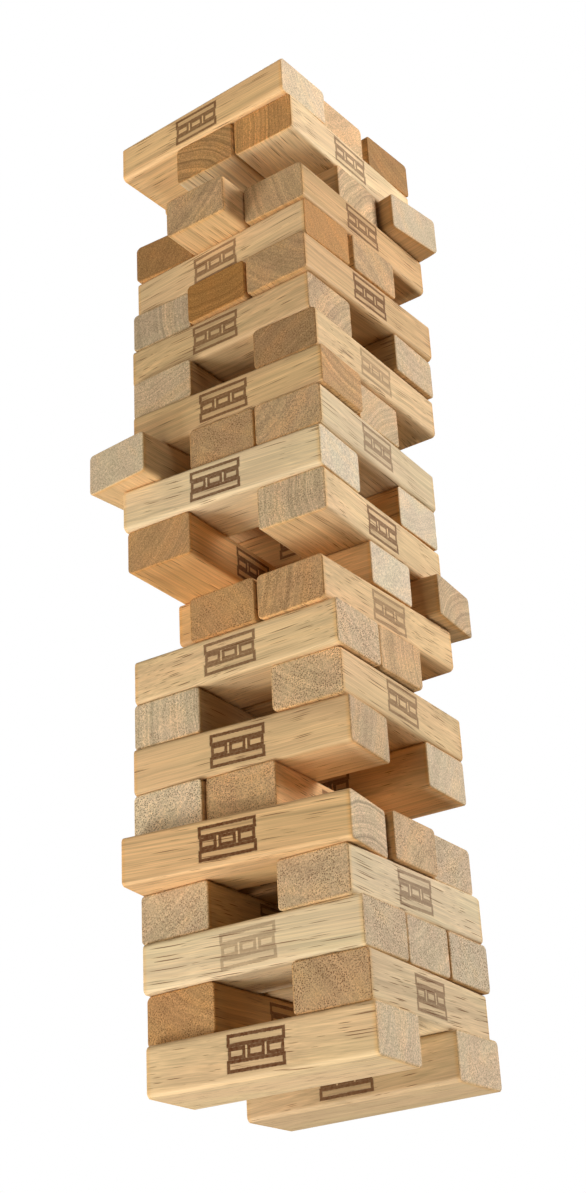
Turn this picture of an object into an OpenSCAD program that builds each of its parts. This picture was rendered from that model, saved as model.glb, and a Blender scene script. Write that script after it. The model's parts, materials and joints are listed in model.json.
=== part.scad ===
// Giant tumbling tower: a stacking block game part way through play.
// Twenty-three layers of plain wooden blocks. Odd layers run along X and
// even layers run along Y, with up to three blocks side by side in a layer.
// Some blocks have already been taken out, and others sit pulled out or turned.
//
// Millimetres. Z = 0 is the ground under the bottom layer, and the middle of
// the footprint is X = Y = 0. Front is -Y, rear is +Y, left is -X, right is +X.

/* [Block] */

// length of every block
block_length = 190; // [150:1:215]
// width of every block, a third of its length less a sliding gap
block_width = 63; // [49:0.5:71]
// height of one layer: the thickness of a block and the hair of air over it
block_thickness = 38; // [30:0.5:43]
// radius on the four long edges
edge_radius = 3.5; // [1:0.5:7]
// flat broken along the edges and corners of the sawn ends
end_break = 1; // [0.5:0.5:3]
// hair of air left on top of every block, so that the layers slide freely
layer_air = 0.02; // [0.01:0.01:0.1]

/* [Tower] */

// distance between the middles of neighbouring lanes in a layer
lane_pitch = 63.5; // [50:0.5:72]
// moves the whole stack so that its footprint is centred, along X
centre_x = 0.5; // [-10:0.5:10]
// moves the whole stack so that its footprint is centred, along Y
centre_y = 2; // [-10:0.5:10]

/* [Hidden] */

$fn = 48;

// timber tones, light to dark
pale = [0.87, 0.74, 0.55];
honey = [0.80, 0.62, 0.40];
tan = [0.72, 0.53, 0.34];
brown = [0.60, 0.41, 0.26];

// Rectangle with round corners, centred, in the XY plane.
module round_rect(w, h, r) {
  union() {
    square([w - 2 * r, h], center = true);
    square([w, h - 2 * r], center = true);
    for (sx = [-1, 1], sy = [-1, 1])
      translate([sx * (w / 2 - r), sy * (h / 2 - r)]) circle(r = r);
  }
}

// Rectangle with its four corners cut off flat, centred, in the XY plane.
module cut_rect(w, h, c) {
  polygon([
    [-w / 2 + c, -h / 2], [w / 2 - c, -h / 2],
    [w / 2, -h / 2 + c], [w / 2, h / 2 - c],
    [w / 2 - c, h / 2], [-w / 2 + c, h / 2],
    [-w / 2, h / 2 - c], [-w / 2, -h / 2 + c]
  ]);
}

// One block lying flat along X, centred on the origin. The long edges are
// rounded, and the edges of the two sawn ends are broken with a small flat.
module block() {
  intersection() {
    rotate([90, 0, 90])
      translate([0, 0, -block_length / 2])
        linear_extrude(height = block_length)
          round_rect(block_width, block_thickness - layer_air, edge_radius);
    translate([0, 0, -block_thickness])
      linear_extrude(height = 2 * block_thickness)
        cut_rect(block_length, block_width, end_break);
    rotate([90, 0, 0])
      translate([0, 0, -block_width])
        linear_extrude(height = 2 * block_width)
          cut_rect(block_length, block_thickness - layer_air, end_break);
  }
}

// A block in an odd layer. lane -1 is the front, 0 the middle, 1 the rear.
// slide moves it along its length, shift moves it across, turn twists it.
module along_x(layer, lane, slide, shift, turn) {
  translate([
    centre_x + slide,
    centre_y + lane * lane_pitch + shift,
    (layer - 0.5) * block_thickness - layer_air / 2
  ])
    rotate([0, 0, turn]) block();
}

// A block in an even layer. lane -1 is the left, 0 the middle, 1 the right.
module along_y(layer, lane, slide, shift, turn) {
  translate([
    centre_x + lane * lane_pitch + shift,
    centre_y + slide,
    (layer - 0.5) * block_thickness - layer_air / 2
  ])
    rotate([0, 0, 90 + turn]) block();
}

// ---- the blocks, from the ground up ----

// layer 1, along X
module layer_01_front() { color(honey) along_x(layer = 1, lane = -1, slide = 8, shift = 0, turn = 3); }
module layer_01_rear() { color(tan) along_x(layer = 1, lane = 1, slide = 2, shift = 1, turn = 0); }

// layer 2, along Y
module layer_02_left() { color(honey) along_y(layer = 2, lane = -1, slide = 5, shift = 6, turn = -2); }
module layer_02_right() { color(tan) along_y(layer = 2, lane = 1, slide = 6, shift = -1, turn = 4); }

// layer 3, along X
module layer_03_front() { color(honey) along_x(layer = 3, lane = -1, slide = 3, shift = 3, turn = 2); }
module layer_03_middle() { color(tan) along_x(layer = 3, lane = 0, slide = -1, shift = 6, turn = 2); }
module layer_03_rear() { color(pale) along_x(layer = 3, lane = 1, slide = -3, shift = 7, turn = 2); }

// layer 4, along Y
module layer_04_left() { color(honey) along_y(layer = 4, lane = -1, slide = 4, shift = 0, turn = 0); }
module layer_04_right() { color(tan) along_y(layer = 4, lane = 1, slide = 4, shift = -3, turn = 0); }

// layer 5, along X
module layer_05_front() { color(honey) along_x(layer = 5, lane = -1, slide = 0, shift = -13, turn = 8); }
module layer_05_middle() { color(tan) along_x(layer = 5, lane = 0, slide = 0, shift = -1, turn = 1); }
module layer_05_rear() { color(honey) along_x(layer = 5, lane = 1, slide = -6, shift = 0, turn = 1); }

// layer 6, along Y
module layer_06_left() { color(honey) along_y(layer = 6, lane = -1, slide = -6, shift = 0, turn = 2); }
module layer_06_middle() { color(tan) along_y(layer = 6, lane = 0, slide = 0, shift = 0, turn = 2); }

// layer 7, along X
module layer_07_front() { color(honey) along_x(layer = 7, lane = -1, slide = 1, shift = 0, turn = 5); }
module layer_07_rear() { color(tan) along_x(layer = 7, lane = 1, slide = -5, shift = 2, turn = 2); }

// layer 8, along Y
module layer_08_left() { color(honey) along_y(layer = 8, lane = -1, slide = -4, shift = 1, turn = 1); }
module layer_08_right() { color(tan) along_y(layer = 8, lane = 1, slide = 4, shift = -2, turn = 2); }

// layer 9, along X
module layer_09_front() { color(honey) along_x(layer = 9, lane = -1, slide = 3, shift = -3, turn = 1); }
module layer_09_middle() { color(tan) along_x(layer = 9, lane = 0, slide = 2, shift = -1, turn = 0); }

// layer 10, along Y
module layer_10_middle() { color(honey) along_y(layer = 10, lane = 0, slide = -4, shift = -3, turn = -1); }
module layer_10_right() { color(tan) along_y(layer = 10, lane = 1, slide = -4, shift = -2, turn = -1); }

// layer 11, along X
module layer_11_middle() { color(pale) along_x(layer = 11, lane = 0, slide = -2, shift = 0, turn = 1); }
module layer_11_rear() { color(tan) along_x(layer = 11, lane = 1, slide = 8, shift = 16, turn = 5); }

// layer 12, along Y
module layer_12_left() { color(tan) along_y(layer = 12, lane = -1, slide = -10, shift = 1, turn = 1); }
module layer_12_right() { color(brown) along_y(layer = 12, lane = 1, slide = -3, shift = -2, turn = 2); }

// layer 13, along X
module layer_13_front() { color(pale) along_x(layer = 13, lane = -1, slide = 0, shift = -10, turn = 3); }
module layer_13_rear() { color(tan) along_x(layer = 13, lane = 1, slide = -4, shift = -6, turn = 1); }

// layer 14, along Y
module layer_14_left() { color(honey) along_y(layer = 14, lane = -1, slide = -30, shift = -15, turn = -6); }
module layer_14_middle() { color(tan) along_y(layer = 14, lane = 0, slide = -6, shift = -1, turn = 2); }
module layer_14_right() { color(tan) along_y(layer = 14, lane = 1, slide = -4, shift = 0, turn = 2); }

// layer 15, along X
module layer_15_front() { color(honey) along_x(layer = 15, lane = -1, slide = 5, shift = -3, turn = 1); }
module layer_15_middle() { color(tan) along_x(layer = 15, lane = 0, slide = -2, shift = 3, turn = 0); }

// layer 16, along Y
module layer_16_left() { color(honey) along_y(layer = 16, lane = -1, slide = 0, shift = 5, turn = -2); }
module layer_16_right() { color(tan) along_y(layer = 16, lane = 1, slide = 0, shift = 2, turn = 0); }

// layer 17, along X
module layer_17_front() { color(honey) along_x(layer = 17, lane = -1, slide = -2, shift = 3, turn = -2); }
module layer_17_rear() { color(tan) along_x(layer = 17, lane = 1, slide = 5, shift = -2, turn = 0); }

// layer 18, along Y
module layer_18_left() { color(honey) along_y(layer = 18, lane = -1, slide = 8, shift = -3, turn = 0); }
module layer_18_middle() { color(brown) along_y(layer = 18, lane = 0, slide = 0, shift = 3, turn = -3); }
module layer_18_right() { color(tan) along_y(layer = 18, lane = 1, slide = -3, shift = 4, turn = -3); }

// layer 19, along X
module layer_19_front() { color(honey) along_x(layer = 19, lane = -1, slide = 0, shift = 7, turn = -4); }
module layer_19_middle() { color(tan) along_x(layer = 19, lane = 0, slide = 5, shift = 10, turn = -3); }

// layer 20, along Y
module layer_20_left() { color(brown) along_y(layer = 20, lane = -1, slide = 12, shift = -3, turn = 1); }
module layer_20_middle() { color(honey) along_y(layer = 20, lane = 0, slide = -26, shift = 1, turn = -2); }
module layer_20_right() { color(tan) along_y(layer = 20, lane = 1, slide = 0, shift = 2, turn = -2); }

// layer 21, along X
module layer_21_middle() { color(tan) along_x(layer = 21, lane = 0, slide = -2, shift = 0, turn = -1); }
module layer_21_rear() { color(honey) along_x(layer = 21, lane = 1, slide = 20, shift = 14, turn = -9); }

// layer 22, along Y
module layer_22_middle() { color(honey) along_y(layer = 22, lane = 0, slide = -2, shift = -4, turn = -2); }
module layer_22_right() { color(tan) along_y(layer = 22, lane = 1, slide = -3, shift = -3, turn = -2); }

// layer 23, along X
module layer_23_front() { color(honey) along_x(layer = 23, lane = -1, slide = -7, shift = -4, turn = -4); }
module layer_23_middle() { color(tan) along_x(layer = 23, lane = 0, slide = -8, shift = -3, turn = -4); }
module layer_23_rear() { color(honey) along_x(layer = 23, lane = 1, slide = -2, shift = 6, turn = -5); }

layer_01_front();
layer_01_rear();
layer_02_left();
layer_02_right();
layer_03_front();
layer_03_middle();
layer_03_rear();
layer_04_left();
layer_04_right();
layer_05_front();
layer_05_middle();
layer_05_rear();
layer_06_left();
layer_06_middle();
layer_07_front();
layer_07_rear();
layer_08_left();
layer_08_right();
layer_09_front();
layer_09_middle();
layer_10_middle();
layer_10_right();
layer_11_middle();
layer_11_rear();
layer_12_left();
layer_12_right();
layer_13_front();
layer_13_rear();
layer_14_left();
layer_14_middle();
layer_14_right();
layer_15_front();
layer_15_middle();
layer_16_left();
layer_16_right();
layer_17_front();
layer_17_rear();
layer_18_left();
layer_18_middle();
layer_18_right();
layer_19_front();
layer_19_middle();
layer_20_left();
layer_20_middle();
layer_20_right();
layer_21_middle();
layer_21_rear();
layer_22_middle();
layer_22_right();
layer_23_front();
layer_23_middle();
layer_23_rear();
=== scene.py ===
# Giant tumbling tower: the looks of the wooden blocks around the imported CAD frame.
import json
import math
import random

import bpy
import numpy as np
from mathutils import Matrix, Vector


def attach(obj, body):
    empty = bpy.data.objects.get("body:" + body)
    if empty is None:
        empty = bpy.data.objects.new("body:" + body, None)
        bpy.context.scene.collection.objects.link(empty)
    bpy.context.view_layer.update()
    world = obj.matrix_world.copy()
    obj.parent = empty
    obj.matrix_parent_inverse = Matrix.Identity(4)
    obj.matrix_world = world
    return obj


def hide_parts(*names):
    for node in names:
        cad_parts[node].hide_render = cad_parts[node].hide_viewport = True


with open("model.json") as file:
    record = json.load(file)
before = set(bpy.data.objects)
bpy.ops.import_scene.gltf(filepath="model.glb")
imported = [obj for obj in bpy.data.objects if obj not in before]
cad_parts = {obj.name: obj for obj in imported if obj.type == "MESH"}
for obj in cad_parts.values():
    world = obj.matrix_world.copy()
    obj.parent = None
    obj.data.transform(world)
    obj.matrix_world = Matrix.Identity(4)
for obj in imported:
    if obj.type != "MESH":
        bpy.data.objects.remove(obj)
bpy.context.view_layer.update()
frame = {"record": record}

# ---------------------------------------------------------------- the blocks
LENGTH, WIDTH, THICK, PITCH = 190.0, 63.0, 38.0, 63.5   # millimetres
CENTRE = (0.5, 2.0)
LANE = {"front": -1, "left": -1, "middle": 0, "rear": 1, "right": 1}

# layer from the ground, place, slide along, shift across, turn in degrees,
# side tone, end tone, strength of the burnt mark, heart of the log as seen on
# the visible end (to the right, up), strength of the growth rings, of the pores.
# Tones are (lightness, warmth): 1, 0 is the set's average. Besides each block's own colour they hold painted light and
# shade: a face that lies in shade is made darker, a brightly lit face lighter.
BLOCKS = [
    (1, "front", 8, 0, 3, (1.14, -0.13), (1.35, -0.23), 1.0, (-120, 40), 0.25, 0.35),
    (1, "rear", 2, 1, 0, (0.95, -0.11), (1.38, -0.22), 0.9, (60, -110), 0.20, 0.35),
    (2, "left", 5, 6, -2, (0.76, 0.34), (0.88, 0.37), 0.8, (60, 90), 0.35, 0.90),
    (2, "right", 6, -1, 4, (1.11, -0.23), (1.06, 0.08), 0.65, (-90, -60), 0.25, 0.95),
    (3, "front", 3, 3, 2, (1.26, -0.35), (1.30, -0.19), 0.42, (40, 120), 0.15, 1.0),
    (3, "middle", -1, 6, 2, (1.00, 0.00), (1.28, -0.24), 0.7, (-70, 100), 0.25, 0.55),
    (3, "rear", -3, 7, 2, (0.95, 0.05), (1.27, -0.29), 0.7, (90, 90), 0.15, 1.0),
    (4, "left", 4, 0, 0, (0.82, 0.00), (1.13, -0.21), 0.8, (-60, 90), 0.40, 0.85),
    (4, "right", 4, -3, 0, (1.23, -0.32), (1.14, -0.12), 0.6, (20, 130), 0.15, 1.0),
    (5, "front", 0, -13, 8, (1.12, 0.06), (1.27, -0.17), 1.0, (10, -90), 0.90, 0.30),
    (5, "middle", 0, -1, 1, (0.90, 0.10), (1.19, -0.03), 0.8, (70, -70), 0.25, 0.75),
    (5, "rear", -6, 0, 1, (1.05, -0.05), (1.25, -0.22), 0.7, (-50, 90), 0.30, 0.80),
    (6, "left", -6, 0, 2, (1.00, 0.00), (1.58, -0.30), 0.8, (-80, 60), 0.20, 0.80),
    (6, "middle", 0, 0, 2, (1.19, 0.19), (1.15, 0.14), 0.8, (10, 100), 0.35, 0.85),
    (7, "front", 1, 0, 5, (1.12, -0.04), (1.08, -0.08), 0.95, (-110, 30), 0.30, 0.50),
    (7, "rear", -5, 2, 2, (1.21, 0.08), (1.31, -0.27), 0.8, (100, -40), 0.20, 0.20),
    (8, "left", -4, 1, 1, (0.84, -0.07), (1.35, -0.28), 0.7, (110, 4), 0.60, 0.55),
    (8, "right", 4, -2, 2, (1.10, -0.04), (1.27, -0.07), 0.65, (50, 85), 0.40, 0.95),
    (9, "front", 3, -3, 1, (1.19, -0.12), (1.29, -0.13), 0.8, (70, 80), 0.30, 1.0),
    (9, "middle", 2, -1, 0, (0.88, -0.05), (1.15, 0.11), 0.8, (75, 10), 0.60, 0.40),
    (10, "middle", -4, -3, -1, (0.95, 0.15), (0.89, 0.34), 0.8, (-60, -50), 0.40, 0.80),
    (10, "right", -4, -2, -1, (1.13, 0.03), (0.90, 0.23), 0.55, (-100, 20), 0.55, 0.75),
    (11, "middle", -2, 0, 1, (1.02, 0.21), (1.48, -0.36), 0.7, (40, -90), 0.10, 0.10),
    (11, "rear", 8, 16, 5, (0.85, 0.16), (1.02, -0.09), 0.8, (50, -60), 0.75, 0.30),
    (12, "left", -10, 1, 1, (1.04, 0.34), (0.85, 0.29), 0.9, (-70, 60), 0.50, 0.20),
    (12, "right", -3, -2, 2, (1.15, -0.07), (1.22, -0.17), 0.8, (90, 6), 0.75, 0.55),
    (13, "front", 0, -10, 3, (1.27, -0.30), (1.45, -0.40), 0.9, (30, 120), 0.10, 0.10),
    (13, "rear", -4, -6, 1, (1.02, 0.31), (1.40, -0.37), 0.8, (-40, 100), 0.20, 0.10),
    (14, "left", -30, -15, -6, (1.10, 0.04), (1.26, -0.33), 0.8, (90, 60), 0.15, 0.20),
    (14, "middle", -6, -1, 2, (0.92, 0.05), (0.91, 0.15), 0.8, (60, 90), 0.30, 0.85),
    (14, "right", -4, 0, 2, (1.11, -0.26), (1.02, 0.04), 0.6, (-80, 70), 0.30, 0.60),
    (15, "front", 5, -3, 1, (1.01, 0.01), (0.93, 0.28), 0.85, (20, 110), 0.55, 0.40),
    (15, "middle", -2, 3, 0, (1.00, 0.05), (1.13, -0.07), 0.8, (80, -90), 0.60, 0.20),
    (16, "left", 0, 5, -2, (0.76, 0.15), (1.15, -0.18), 0.8, (-20, 120), 0.50, 0.30),
    (16, "right", 0, 2, 0, (1.10, -0.05), (0.69, 0.23), 0.45, (60, -100), 0.50, 0.70),
    (17, "front", -2, 3, -2, (0.97, -0.03), (1.09, -0.03), 0.75, (70, -60), 0.55, 0.70),
    (17, "rear", 5, -2, 0, (0.76, 0.11), (1.15, -0.16), 0.8, (10, 120), 0.40, 0.25),
    (18, "left", 8, -3, 0, (1.00, 0.00), (1.06, -0.25), 0.8, (120, 6), 0.55, 0.30),
    (18, "middle", 0, 3, -3, (0.85, 0.20), (0.60, 0.64), 0.8, (0, 100), 0.60, 0.40),
    (18, "right", -3, 4, -3, (0.92, 0.11), (0.89, 0.14), 0.85, (70, 90), 0.40, 0.30),
    (19, "front", 0, 7, -4, (1.14, -0.11), (0.86, 0.51), 0.7, (80, 80), 0.30, 0.25),
    (19, "middle", 5, 10, -3, (1.00, 0.00), (1.01, 0.10), 0.8, (-60, -80), 0.40, 0.40),
    (20, "left", 12, -3, 1, (0.90, 0.15), (0.65, 0.45), 0.8, (-90, 50), 0.30, 0.40),
    (20, "middle", -26, 1, -2, (1.10, 0.08), (1.02, 0.08), 0.8, (-70, 80), 0.50, 0.50),
    (20, "right", 0, 2, -2, (0.94, 0.15), (1.05, 0.08), 0.75, (110, 30), 0.50, 0.35),
    (21, "middle", -2, 0, -1, (0.85, 0.15), (1.16, 0.00), 0.8, (90, -80), 1.0, 0.20),
    (21, "rear", 20, 14, -9, (0.85, 0.22), (1.27, -0.26), 0.7, (80, 40), 0.15, 0.10),
    (22, "middle", -2, -4, -2, (1.31, -0.23), (0.84, 0.40), 0.8, (-40, -70), 1.0, 0.25),
    (22, "right", -3, -3, -2, (1.31, -0.16), (0.98, 0.49), 0.7, (-110, 6), 0.90, 0.20),
    (23, "front", -7, -4, -4, (1.28, 0.06), (1.60, -0.24), 0.8, (90, 60), 0.35, 0.30),
    (23, "middle", -8, -3, -4, (1.10, 0.00), (1.35, 0.05), 0.8, (-70, 90), 0.20, 0.30),
    (23, "rear", -2, 6, -5, (1.05, 0.05), (0.69, 0.45), 0.8, (60, 110), 0.45, 0.50),
]

SIDE = (0.69, 0.47, 0.25)       # planed long grain, linear
END = (0.55, 0.38, 0.22)        # sawn end grain, linear


def toned(base, tone):
    """Scales a colour: lightness, then warmth, which takes blue and some green away."""
    light, warm = tone
    return (
        base[0] * light * (1 + 0.25 * warm),
        base[1] * light * (1 - (0.28 if warm > 0 else 0.22) * warm),
        base[2] * light * (1 - 0.90 * warm),
    )


def profile(width, thick, radius, arc=5):
    """Points of a rounded rectangle, anticlockwise, with a support point beside each corner."""
    pts = []
    hw, ht = width / 2, thick / 2
    corners = [(hw, -ht, -90), (hw, ht, 0), (-hw, ht, 90), (-hw, -ht, 180)]
    for n, (cx, cy, a0) in enumerate(corners):
        sx, sy = math.copysign(1, cx), math.copysign(1, cy)
        ox, oy = cx - sx * radius, cy - sy * radius
        ring = []
        for i in range(arc + 1):
            a = math.radians(a0 + 90 * i / arc)
            ring.append((ox + radius * math.cos(a), oy + radius * math.sin(a)))
        pts += ring
        nx, ny, na = corners[(n + 1) % 4]
        tx, ty = nx - math.copysign(radius, nx), ny - math.copysign(radius, ny)
        a = math.radians(na)
        end = (tx + radius * math.cos(a), ty + radius * math.sin(a))
        start = ring[-1]
        span = math.hypot(end[0] - start[0], end[1] - start[1])
        steps = max(3, round(span / 6.5))
        stops = [0.9 / span] + [k / steps for k in range(1, steps)] + [1 - 0.9 / span]
        pts += [(start[0] + (end[0] - start[0]) * s, start[1] + (end[1] - start[1]) * s) for s in stops]
    return np.array(pts)


def smooth_noise(rng, n):
    """A few random waves along a block, between -1 and 1."""
    waves = [(rng.uniform(0.5, 2.5), rng.uniform(0, 6.28), rng.uniform(0.3, 1)) for _ in range(n)]
    total = sum(w[2] for w in waves)
    return lambda t: sum(a * np.sin(k * t * 2 * math.pi + p) for k, p, a in waves) / total


def build_block(index, entry):
    layer, place, slide, shift, turn, side_tone_and_shading, end_tone_and_shading, burn, heart, rings_by, pores_by = entry
    name = "layer_%02d_%s" % (layer, place)
    rng = random.Random(1000 + index * 17)
    radius = rng.uniform(3.1, 4.3)
    slim = rng.uniform(0.04, 0.14)            # a little under size, so that seams show
    prof = profile(WIDTH - 2 * rng.uniform(0.02, 0.2), THICK - 2 * slim, radius)
    m = len(prof)
    # stations along the block: an eased edge of about a millimetre at each end
    ease = rng.uniform(0.8, 1.3)
    half = LENGTH / 2 - rng.uniform(0.0, 0.25)
    rings = [(half - ease * (1 - math.sin(math.radians(30 * k))), ease * (1 - math.cos(math.radians(30 * k)))) for k in range(4)]
    inner = list(np.linspace(-(half - ease - 1.2), half - ease - 1.2, 33))
    stations = [(-u, i) for u, i in reversed(rings)] + [(u, 0.0) for u in inner] + rings
    verts = []
    for u, inset in stations:
        scale_v = 1 - inset / (WIDTH / 2)
        scale_w = 1 - inset / (THICK / 2)
        for v, w in prof:
            verts.append((u, v * scale_v, w * scale_w))
    verts = np.array(verts)
    ideal = verts.copy()
    # slow waviness of hand-sanded faces, always inwards
    wave_v, wave_w = smooth_noise(rng, 3), smooth_noise(rng, 3)
    t = verts[:, 0] / LENGTH
    verts[:, 1] *= 1 - 0.0022 * (0.5 + 0.5 * wave_v(t))
    verts[:, 2] *= 1 - 0.0030 * (0.5 + 0.5 * wave_w(t + 0.3))
    # small knocks on the long edges and corners, pressed towards the middle
    for _ in range(rng.randint(3, 6)):
        at_end = rng.random() < 0.45
        u0 = math.copysign(half, rng.uniform(-1, 1)) if at_end else rng.uniform(-half, half)
        p0 = np.array((u0, math.copysign(WIDTH / 2, rng.uniform(-1, 1)), math.copysign(THICK / 2, rng.uniform(-1, 1))))
        size = rng.uniform(2.5, 6.0)
        depth = rng.uniform(0.25, 0.8)
        d = np.linalg.norm((verts - p0) / np.array((1.6, 1, 1)), axis=1)
        fall = np.clip(1 - d / size, 0, 1) ** 2
        push = -np.sign(p0) * np.array((0.7 if at_end else 0.0, 1, 1))
        verts += fall[:, None] * push * depth * 0.9
    n = len(stations)
    faces = []
    for s in range(n - 1):
        for i in range(m):
            j = (i + 1) % m
            faces.append((s * m + i, s * m + j, (s + 1) * m + j, (s + 1) * m + i))
    faces.append(tuple(reversed(range(m))))
    faces.append(tuple((n - 1) * m + i for i in range(m)))
    # the place of the block in the tower
    along_x = layer % 2 == 1
    lane = LANE[place] * PITCH + shift
    cx, cy = (slide, lane) if along_x else (lane, slide)
    cx, cy, cz = cx + CENTRE[0], cy + CENTRE[1], (layer - 0.5) * THICK
    a = math.radians(turn + (0 if along_x else 90))
    ca, sa = math.cos(a), math.sin(a)
    world = np.stack([cx + verts[:, 0] * ca - verts[:, 1] * sa, cy + verts[:, 0] * sa + verts[:, 1] * ca, cz + verts[:, 2]], 1) / 1000.0
    mesh = bpy.data.meshes.new("block_" + name)
    mesh.from_pydata(world.tolist(), [], faces)
    mesh.polygons.foreach_set("use_smooth", [True] * (len(faces) - 2) + [False, False])
    # what the timber material reads, stored on the mesh
    def attribute(label, values):
        att = mesh.attributes.new(label, "FLOAT_VECTOR", "POINT")
        att.data.foreach_set("vector", np.asarray(values, np.float32).ravel())
    count = len(verts)
    attribute("grain_co", ideal)
    # the log this block was sawn from: its heart lies off to one side, nearly parallel to the length
    lean_a, lean_b = rng.uniform(-0.05, 0.05), rng.uniform(-0.05, 0.05)
    sight = 1 if along_x else -1              # the visible end is +X or -Y
    la = ideal[:, 1] - heart[0] * sight + (ideal[:, 0] - 95 * sight) * lean_a
    lb = ideal[:, 2] - heart[1] + (ideal[:, 0] - 95 * sight) * lean_b
    attribute("log_co", np.stack([ideal[:, 0] + rng.uniform(-5000, 5000), la, lb], 1))
    # painted light and shade: the face colours carry each block's own tone and also how brightly its faces are lit
    attribute("side_tone_and_shading", np.tile(toned(SIDE, side_tone_and_shading), (count, 1)))
    attribute("end_tone_and_shading", np.tile(toned(END, end_tone_and_shading), (count, 1)))
    # burnt mark: its own flat coordinates on the two narrow long sides
    off_u, off_w, tilt = rng.uniform(-5.5, -0.5), rng.uniform(-0.8, 0.8), math.radians(rng.uniform(-1.2, 1.2))
    mu, mw = ideal[:, 0] - off_u, ideal[:, 2] - off_w
    attribute("mark_co", np.stack([mu * math.cos(tilt) - mw * math.sin(tilt), mu * math.sin(tilt) + mw * math.cos(tilt), np.full(count, burn)], 1))
    attribute("kind_co", np.tile((rng.uniform(0, 100), rings_by, pores_by), (count, 1)))
    mesh.update()
    obj = bpy.data.objects.new("block_" + name, mesh)
    bpy.context.scene.collection.objects.link(obj)
    return name, obj


# ---------------------------------------------------------------- the timber
class Nodes:
    """Short names for building a node tree."""

    def __init__(self, tree):
        self.tree = tree

    def new(self, kind, **values):
        node = self.tree.nodes.new(kind)
        for key, value in values.items():
            setattr(node, key, value)
        return node

    def put(self, socket, value):
        if isinstance(value, bpy.types.NodeSocket):
            self.tree.links.new(value, socket)
        elif value is not None:
            socket.default_value = value

    def math(self, op, a, b=None, c=None, clamp=False):
        node = self.new("ShaderNodeMath", operation=op, use_clamp=clamp)
        for i, v in enumerate((a, b, c)):
            if v is not None:
                self.put(node.inputs[i], v)
        return node.outputs[0]

    def vmath(self, op, a, b=None, scale=None):
        node = self.new("ShaderNodeVectorMath", operation=op)
        self.put(node.inputs[0], a)
        if b is not None:
            self.put(node.inputs[1], b)
        if scale is not None:
            self.put(node.inputs["Scale"], scale)
        return node.outputs["Value"] if op in ("LENGTH", "DOT_PRODUCT") else node.outputs["Vector"]

    def attribute(self, name):
        node = self.new("ShaderNodeAttribute", attribute_type="GEOMETRY", attribute_name=name)
        return node.outputs["Vector"]

    def split(self, vector):
        node = self.new("ShaderNodeSeparateXYZ")
        self.put(node.inputs[0], vector)
        return node.outputs[0], node.outputs[1], node.outputs[2]

    def join(self, x, y, z):
        node = self.new("ShaderNodeCombineXYZ")
        for i, v in enumerate((x, y, z)):
            self.put(node.inputs[i], v)
        return node.outputs[0]

    def noise(self, vector=None, scale=1.0, detail=2.0, rough=0.5, w=None, dims="3D", distortion=0.0):
        node = self.new("ShaderNodeTexNoise", noise_dimensions=dims)
        if vector is not None:
            self.put(node.inputs["Vector"], vector)
        if w is not None:
            self.put(node.inputs["W"], w)
        self.put(node.inputs["Scale"], scale)
        self.put(node.inputs["Detail"], detail)
        self.put(node.inputs["Roughness"], rough)
        self.put(node.inputs["Distortion"], distortion)
        return node.outputs[0]

    def voronoi(self, vector, scale=1.0, dims="3D"):
        node = self.new("ShaderNodeTexVoronoi", voronoi_dimensions=dims, feature="F1")
        self.put(node.inputs["Vector"], vector)
        self.put(node.inputs["Scale"], scale)
        return node.outputs["Distance"], node.outputs["Color"]

    def step(self, value, low, high, out_low=0.0, out_high=1.0):
        node = self.new("ShaderNodeMapRange", interpolation_type="SMOOTHSTEP")
        self.put(node.inputs["Value"], value)
        self.put(node.inputs["From Min"], low)
        self.put(node.inputs["From Max"], high)
        self.put(node.inputs["To Min"], out_low)
        self.put(node.inputs["To Max"], out_high)
        return node.outputs[0]

    def mix(self, factor, a, b, blend="MIX"):
        node = self.new("ShaderNodeMix", data_type="RGBA", blend_type=blend)
        self.put(node.inputs[0], factor)
        self.put(node.inputs[6], a)
        self.put(node.inputs[7], b)
        return node.outputs[2]


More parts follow.
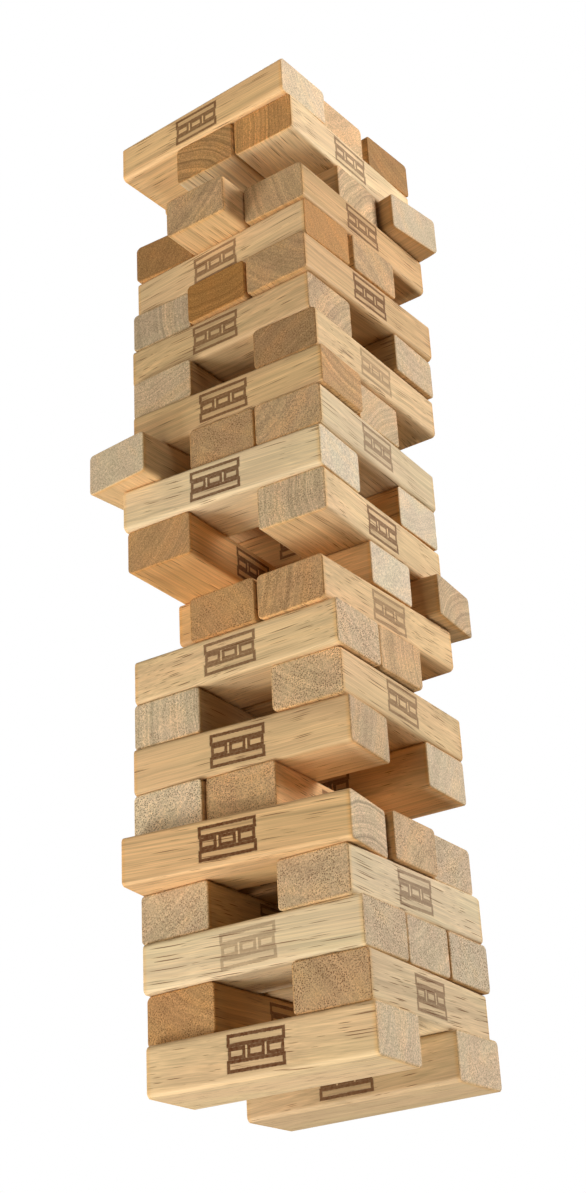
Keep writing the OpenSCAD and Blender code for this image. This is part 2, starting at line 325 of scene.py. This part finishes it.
def timber(name):
    mat = bpy.data.materials.new(name)
    mat.use_nodes = True
    tree = mat.node_tree
    shader = tree.nodes["Principled BSDF"]
    n = Nodes(tree)
    local = n.attribute("grain_co")
    log = n.attribute("log_co")
    side_tone_and_shading = n.attribute("side_tone_and_shading")
    end_tone_and_shading = n.attribute("end_tone_and_shading")
    mark = n.attribute("mark_co")
    kind, rings_by, pores_by = n.split(n.attribute("kind_co"))
    u, v, w = n.split(local)
    lu, la, lb = n.split(log)
    bend = n.math("SUBTRACT", n.noise(w=n.math("MULTIPLY", lu, 0.011), scale=1.0, detail=1.0, dims="1D"), 0.5)
    la = n.math("MULTIPLY_ADD", bend, 3.5, la)
    lb = n.math("MULTIPLY_ADD", bend, -2.5, lb)

    def grain(along, across, detail=2.0, rough=0.5):
        """Noise stretched along the log, as a change about zero."""
        point = n.join(n.math("MULTIPLY", lu, along), n.math("MULTIPLY", la, across), n.math("MULTIPLY", lb, across))
        return n.math("SUBTRACT", n.noise(point, 1.0, detail, rough), 0.5)

    def swing(value, amount, base=None):
        """Multiplies a lightness by 1 + value x amount."""
        out = n.math("MULTIPLY_ADD", value, amount, 1.0)
        return out if base is None else n.math("MULTIPLY", base, out)

    is_end = n.step(n.math("ABSOLUTE", u), 93.9, 94.7)
    is_side = n.math("SUBTRACT", 1.0, is_end)

    # growth rings: distance from the heart of the log, stirred a little
    radius = n.math("SQRT", n.math("ADD", n.math("MULTIPLY", la, la), n.math("MULTIPLY", lb, lb)))
    radius = n.math("MULTIPLY_ADD", grain(0.004, 0.03, 1.0), 6.0, radius)
    rings = n.math("SUBTRACT", n.noise(w=n.math("MULTIPLY_ADD", radius, 0.23, n.math("MULTIPLY", kind, 7.0)), scale=1.0, detail=2.0, rough=0.6, dims="1D"), 0.5)
    fine_rings = n.math("SUBTRACT", n.noise(w=n.math("MULTIPLY_ADD", radius, 0.9, kind), scale=1.0, detail=1.0, dims="1D"), 0.5)
    zones = n.math("SUBTRACT", n.noise(w=n.math("MULTIPLY_ADD", radius, 0.055, n.math("MULTIPLY", kind, 3.0)), scale=1.0, detail=1.0, dims="1D"), 0.5)

    # long streaks and fibres, stretched along the length
    streak = grain(0.0035, 0.36, 2.0, 0.55)
    line = grain(0.006, 1.15, 1.0, 0.5)
    fibre = grain(0.035, 2.1, 2.0, 0.6)
    cloud = grain(0.012, 0.05)
    speck = grain(0.3, 0.75, 2.0, 0.7)

    # pores: short dark dashes along the grain, dots where they are cut across
    crowd = n.step(grain(0.015, 0.07), -0.16, 0.12)
    crowd = n.math("MULTIPLY", n.math("MULTIPLY_ADD", crowd, 0.65, 0.35), n.math("MULTIPLY_ADD", pores_by, 0.80, 0.20))
    cell, tint = n.voronoi(n.join(n.math("MULTIPLY", lu, 0.020), n.math("MULTIPLY", la, 0.92), n.math("MULTIPLY", lb, 0.92)))
    pick, pick2, _ = n.split(tint)
    reach = n.math("MULTIPLY_ADD", n.math("MULTIPLY", pick, pick), 0.30, 0.12)
    dash = n.math("SUBTRACT", 1.0, n.step(n.math("DIVIDE", cell, reach), 0.55, 1.20))
    dash = n.math("MULTIPLY", dash, n.step(n.math("ADD", pick2, crowd), 0.75, 1.0))
    cell, tint = n.voronoi(n.join(n.math("MULTIPLY", la, 0.60), n.math("MULTIPLY", lb, 0.60), 0.0), dims="2D")
    pick, pick2, _ = n.split(tint)
    reach = n.math("MULTIPLY_ADD", pick, 0.20, 0.14)
    dot = n.math("SUBTRACT", 1.0, n.step(n.math("DIVIDE", cell, reach), 0.7, 1.3))
    dot = n.math("MULTIPLY", dot, n.math("MULTIPLY", crowd, n.step(n.math("ADD", pick2, crowd), 0.45, 0.75)))
    pore = n.math("ADD", n.math("MULTIPLY", dash, is_side), n.math("MULTIPLY", dot, is_end))

    # planed sides
    lift = swing(streak, 0.48)
    lift = swing(line, 0.60, lift)
    lift = swing(rings, n.math("MULTIPLY_ADD", rings_by, 0.80, 0.20), lift)
    lift = swing(fibre, 0.25, lift)
    lift = swing(cloud, 0.25, lift)
    # the side colour is the block's own tone with painted light and shade in it
    side = n.vmath("SCALE", side_tone_and_shading, scale=lift)
    side = n.mix(n.math("MULTIPLY", n.step(n.math("ADD", rings, n.math("MULTIPLY", streak, 0.5)), 0.08, 0.30), 0.14), side, (0.50, 0.29, 0.12, 1))
    side = n.mix(n.math("MULTIPLY", pore, 0.86), side, (0.180, 0.070, 0.020, 1))

    # sawn ends
    lift = swing(rings, n.math("MULTIPLY_ADD", rings_by, 1.20, 0.0))
    lift = swing(zones, n.math("MULTIPLY_ADD", rings_by, 0.45, 0.20), lift)
    lift = swing(fine_rings, n.math("MULTIPLY_ADD", rings_by, 0.45, 0.06), lift)
    lift = swing(speck, 1.5, lift)
    lift = swing(cloud, 0.30, lift)
    # the end colour is the block's own tone with painted light and shade in it
    end = n.vmath("SCALE", end_tone_and_shading, scale=lift)
    end = n.mix(n.math("MULTIPLY", n.step(n.math("ADD", zones, cloud), -0.05, 0.30), 0.30), end, n.vmath("MULTIPLY", end, (1.05, 0.90, 0.70)))
    end = n.mix(n.math("MULTIPLY", pore, 0.84), end, (0.140, 0.060, 0.020, 1))

    wood = n.mix(is_end, side, end)
    blush = n.step(grain(0.008, 0.035), -0.16, 0.16)
    wood = n.vmath("MULTIPLY", wood, n.mix(blush, (0.99, 1.01, 0.99, 1), (1.01, 0.985, 0.985, 1)))
    # painted light: the rounded edges round each end are made more golden, as if catching warm light
    painted_edge_glow = n.math("MINIMUM", n.math("SUBTRACT", 31.5, n.math("ABSOLUTE", v)), n.math("SUBTRACT", 19.0, n.math("ABSOLUTE", w)))
    painted_edge_glow = n.math("MULTIPLY", n.math("SUBTRACT", 1.0, n.step(painted_edge_glow, 0.3, 2.4)), n.step(n.math("ABSOLUTE", u), 90.0, 94.0))
    wood = n.mix(n.math("MULTIPLY", painted_edge_glow, 0.7), wood, n.vmath("MULTIPLY", wood, (1.04, 0.90, 0.68)))

    # burnt mark on the two narrow long sides: a plain pile of three courses of bars
    mx, my, strength = n.split(mark)
    rag = n.math("MULTIPLY", n.math("SUBTRACT", n.noise(local, 0.55, 2.0), 0.5), 0.9)

    def bar(x0, y0, hw, hh, px=None):
        dx = n.math("SUBTRACT", n.math("ABSOLUTE", n.math("SUBTRACT", mx if px is None else px, x0)), hw)
        dy = n.math("SUBTRACT", n.math("ABSOLUTE", n.math("SUBTRACT", my, y0)), hh)
        return n.math("MAXIMUM", dx, dy)

    long_bars = bar(0.0, 9.0, 22.8, 3.3)
    long_bars = n.math("MINIMUM", long_bars, bar(0.0, -9.0, 22.8, 3.3))
    short_bars = n.math("MINIMUM", bar(0.0, 0.0, 5.9, 3.3), bar(15.9, 0.0, 5.9, 3.3, n.math("ABSOLUTE", mx)))
    shape = n.math("MINIMUM", long_bars, short_bars)
    ink = n.math("ADD", n.math("ABSOLUTE", shape), rag)
    ink = n.math("SUBTRACT", 1.0, n.step(ink, 1.0, 1.6))
    halo = n.math("SUBTRACT", 1.0, n.step(n.math("ADD", shape, rag), 0.2, 3.0))
    on_face = n.step(n.math("ABSOLUTE", v), 30.4, 31.0)
    here = n.math("MULTIPLY", n.math("MULTIPLY", on_face, is_side), strength)
    scorch = n.math("MULTIPLY", n.math("MULTIPLY", halo, 0.20), here)
    char = n.math("MULTIPLY", n.math("MULTIPLY", ink, n.math("MULTIPLY_ADD", n.noise(local, 0.35, 3.0), 0.5, 0.66), clamp=True), here)
    wood = n.mix(scorch, wood, (0.30, 0.15, 0.06, 1))
    wood = n.mix(char, wood, (0.125, 0.040, 0.010, 1))
    n.put(shader.inputs["Base Color"], wood)

    rough = n.math("MULTIPLY_ADD", streak, 0.18, 0.47)
    rough = n.math("ADD", rough, n.math("MULTIPLY", is_end, 0.20))
    rough = n.math("ADD", rough, n.math("MULTIPLY", char, 0.25))
    n.put(shader.inputs["Roughness"], rough)
    shader.inputs["Specular IOR Level"].default_value = 0.16

    # relief: fibres and pores, and the pressed-in mark
    height = n.math("MULTIPLY", fibre, 0.35)
    height = n.math("ADD", height, n.math("MULTIPLY", speck, n.math("MULTIPLY", is_end, 0.6)))
    height = n.math("SUBTRACT", height, n.math("MULTIPLY", pore, 0.9))
    height = n.math("SUBTRACT", height, n.math("MULTIPLY", char, 1.6))
    bump = n.new("ShaderNodeBump")
    bump.inputs["Strength"].default_value = 0.5
    bump.inputs["Distance"].default_value = 0.00025
    n.put(bump.inputs["Height"], height)
    n.put(shader.inputs["Normal"], bump.outputs[0])
    return mat


slots = {s["node"]: s["material_slot"] for s in frame["record"]["subparts"]}
body_of = {}
for body, members in frame["record"]["behaviour"]["bodies"].items():
    for member in members:
        body_of[member] = body
materials = {}
for index, entry in enumerate(BLOCKS):
    name, obj = build_block(index, entry)
    slot = slots[name]
    if slot not in materials:
        materials[slot] = timber("timber_" + slot)
    obj.data.materials.append(materials[slot])
    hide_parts(name)
    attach(obj, body_of[name])

# ---------------------------------------------------------------- the studio
AMBIENT = 0.012
# name, power, colour, place, size
LAMPS = [
    ("right", 56.0, (1.0, 1.0, 1.0), (2.12, 0.99, 1.25), (1.0, 1.0)),
    ("right_low", 6.5, (1.0, 0.93, 0.87), (1.88, 0.88, -0.76), (1.0, 1.0)),
    ("right_high", 7.0, (1.0, 0.93, 0.87), (1.78, -0.48, 1.98), (1.0, 1.0)),
    ("left_low", 122.0, (1.0, 0.985, 0.95), (-2.6, -2.6, -2.65), (2.0, 2.0)),
    ("left", 13.0, (1.0, 0.95, 0.86), (-1.7, -1.7, 0.44), (1.0, 1.0)),
    ("front_low", 10.5, (1.0, 0.905, 0.73), (-0.15, -1.69, -1.26), (1.0, 1.0)),
    ("front", 11.0, (1.0, 0.91, 0.74), (-0.2, -2.35, 0.02), (1.0, 1.0)),
    ("under", 90.0, (1.0, 1.0, 1.0), (0.08, 0.0, -4.2), (2.0, 2.0)),
    ("back", 16.0, (1.0, 1.0, 1.0), (-1.6, 1.8, 1.6), (1.6, 1.6)),
    ("top", 16.0, (1.0, 1.0, 1.0), (-0.2, 0.5, 2.7), (1.2, 1.2)),
]


def lamp(name, energy, colour, place, size, target=(0, 0, 0.44)):
    data = bpy.data.lights.new(name, "AREA")
    data.shape = "RECTANGLE"
    data.size, data.size_y = size
    data.energy = energy
    data.color = colour
    obj = bpy.data.objects.new(name, data)
    bpy.context.scene.collection.objects.link(obj)
    obj.location = place
    obj.rotation_euler = (Vector(target) - Vector(place)).to_track_quat("-Z", "Y").to_euler()
    obj.visible_camera = False
    return obj


for entry in LAMPS:
    lamp(*entry)

world = bpy.data.worlds.new("studio")
world.use_nodes = True
wn = Nodes(world.node_tree)
background = world.node_tree.nodes["Background"]
path = wn.new("ShaderNodeLightPath")
wn.put(background.inputs["Strength"], wn.step(path.outputs["Is Camera Ray"], 0.0, 1.0, AMBIENT, 1.0))
background.inputs["Color"].default_value = (1, 1, 1, 1)
bpy.context.scene.world = world

# pale floor: seen only from above, and it neither shades nor lights the undersides
floor_mesh = bpy.data.meshes.new("floor")
floor_mesh.from_pydata([(-9, -9, -0.0006), (9, -9, -0.0006), (9, 9, -0.0006), (-9, 9, -0.0006)], [], [(0, 1, 2, 3)])
floor = bpy.data.objects.new("floor", floor_mesh)
bpy.context.scene.collection.objects.link(floor)
floor_mat = bpy.data.materials.new("pale_floor")
floor_mat.use_nodes = True
fn = Nodes(floor_mat.node_tree)
floor_out = floor_mat.node_tree.nodes["Material Output"]
floor_bsdf = floor_mat.node_tree.nodes["Principled BSDF"]
floor_bsdf.inputs["Base Color"].default_value = (0.90, 0.895, 0.88, 1)
floor_bsdf.inputs["Roughness"].default_value = 0.9
floor_bsdf.inputs["Specular IOR Level"].default_value = 0.1
floor_bsdf.inputs["Emission Color"].default_value = (1, 0.995, 0.985, 1)
floor_bsdf.inputs["Emission Strength"].default_value = 0.34
clear = fn.new("ShaderNodeBsdfTransparent")
spot = fn.new("ShaderNodeNewGeometry")
away = fn.step(fn.vmath("LENGTH", spot.outputs["Position"]), 0.35, 1.5)
gone = fn.math("MAXIMUM", away, spot.outputs["Backfacing"])
both = fn.new("ShaderNodeMixShader")
fn.put(both.inputs[0], gone)
fn.put(both.inputs[1], floor_bsdf.outputs[0])
fn.put(both.inputs[2], clear.outputs[0])
fn.put(floor_out.inputs["Surface"], both.outputs[0])
floor.data.materials.append(floor_mat)
floor.visible_shadow = False
floor.visible_diffuse = False
floor.visible_glossy = False
floor.visible_transmission = False

# ---------------------------------------------------------------- the camera
right = Vector((0.84115, 0.53646, -0.06837))
down = Vector((-0.29968, 0.35712, -0.88468))
ahead = Vector((-0.45018, 0.76464, 0.46116))
camera_data = bpy.data.cameras.new("camera")
camera_data.lens = 55.504
camera_data.sensor_width = 36.0
camera_data.sensor_fit = "AUTO"
camera_data.shift_x = -0.05854
camera_data.shift_y = -0.04334
camera_data.clip_start = 0.01
camera_data.clip_end = 60
camera = bpy.data.objects.new("camera", camera_data)
bpy.context.scene.collection.objects.link(camera)
turned = Matrix((right, -down, -ahead)).transposed().to_4x4()
turned.translation = (0.75069, -1.15475, -0.26443)
camera.matrix_world = turned
bpy.context.scene.camera = camera
bpy.context.scene.view_settings.view_transform = "Standard"
bpy.context.scene.view_settings.look = "None"
bpy.context.scene.view_settings.exposure = 0.0
bpy.context.scene.view_settings.gamma = 1.0
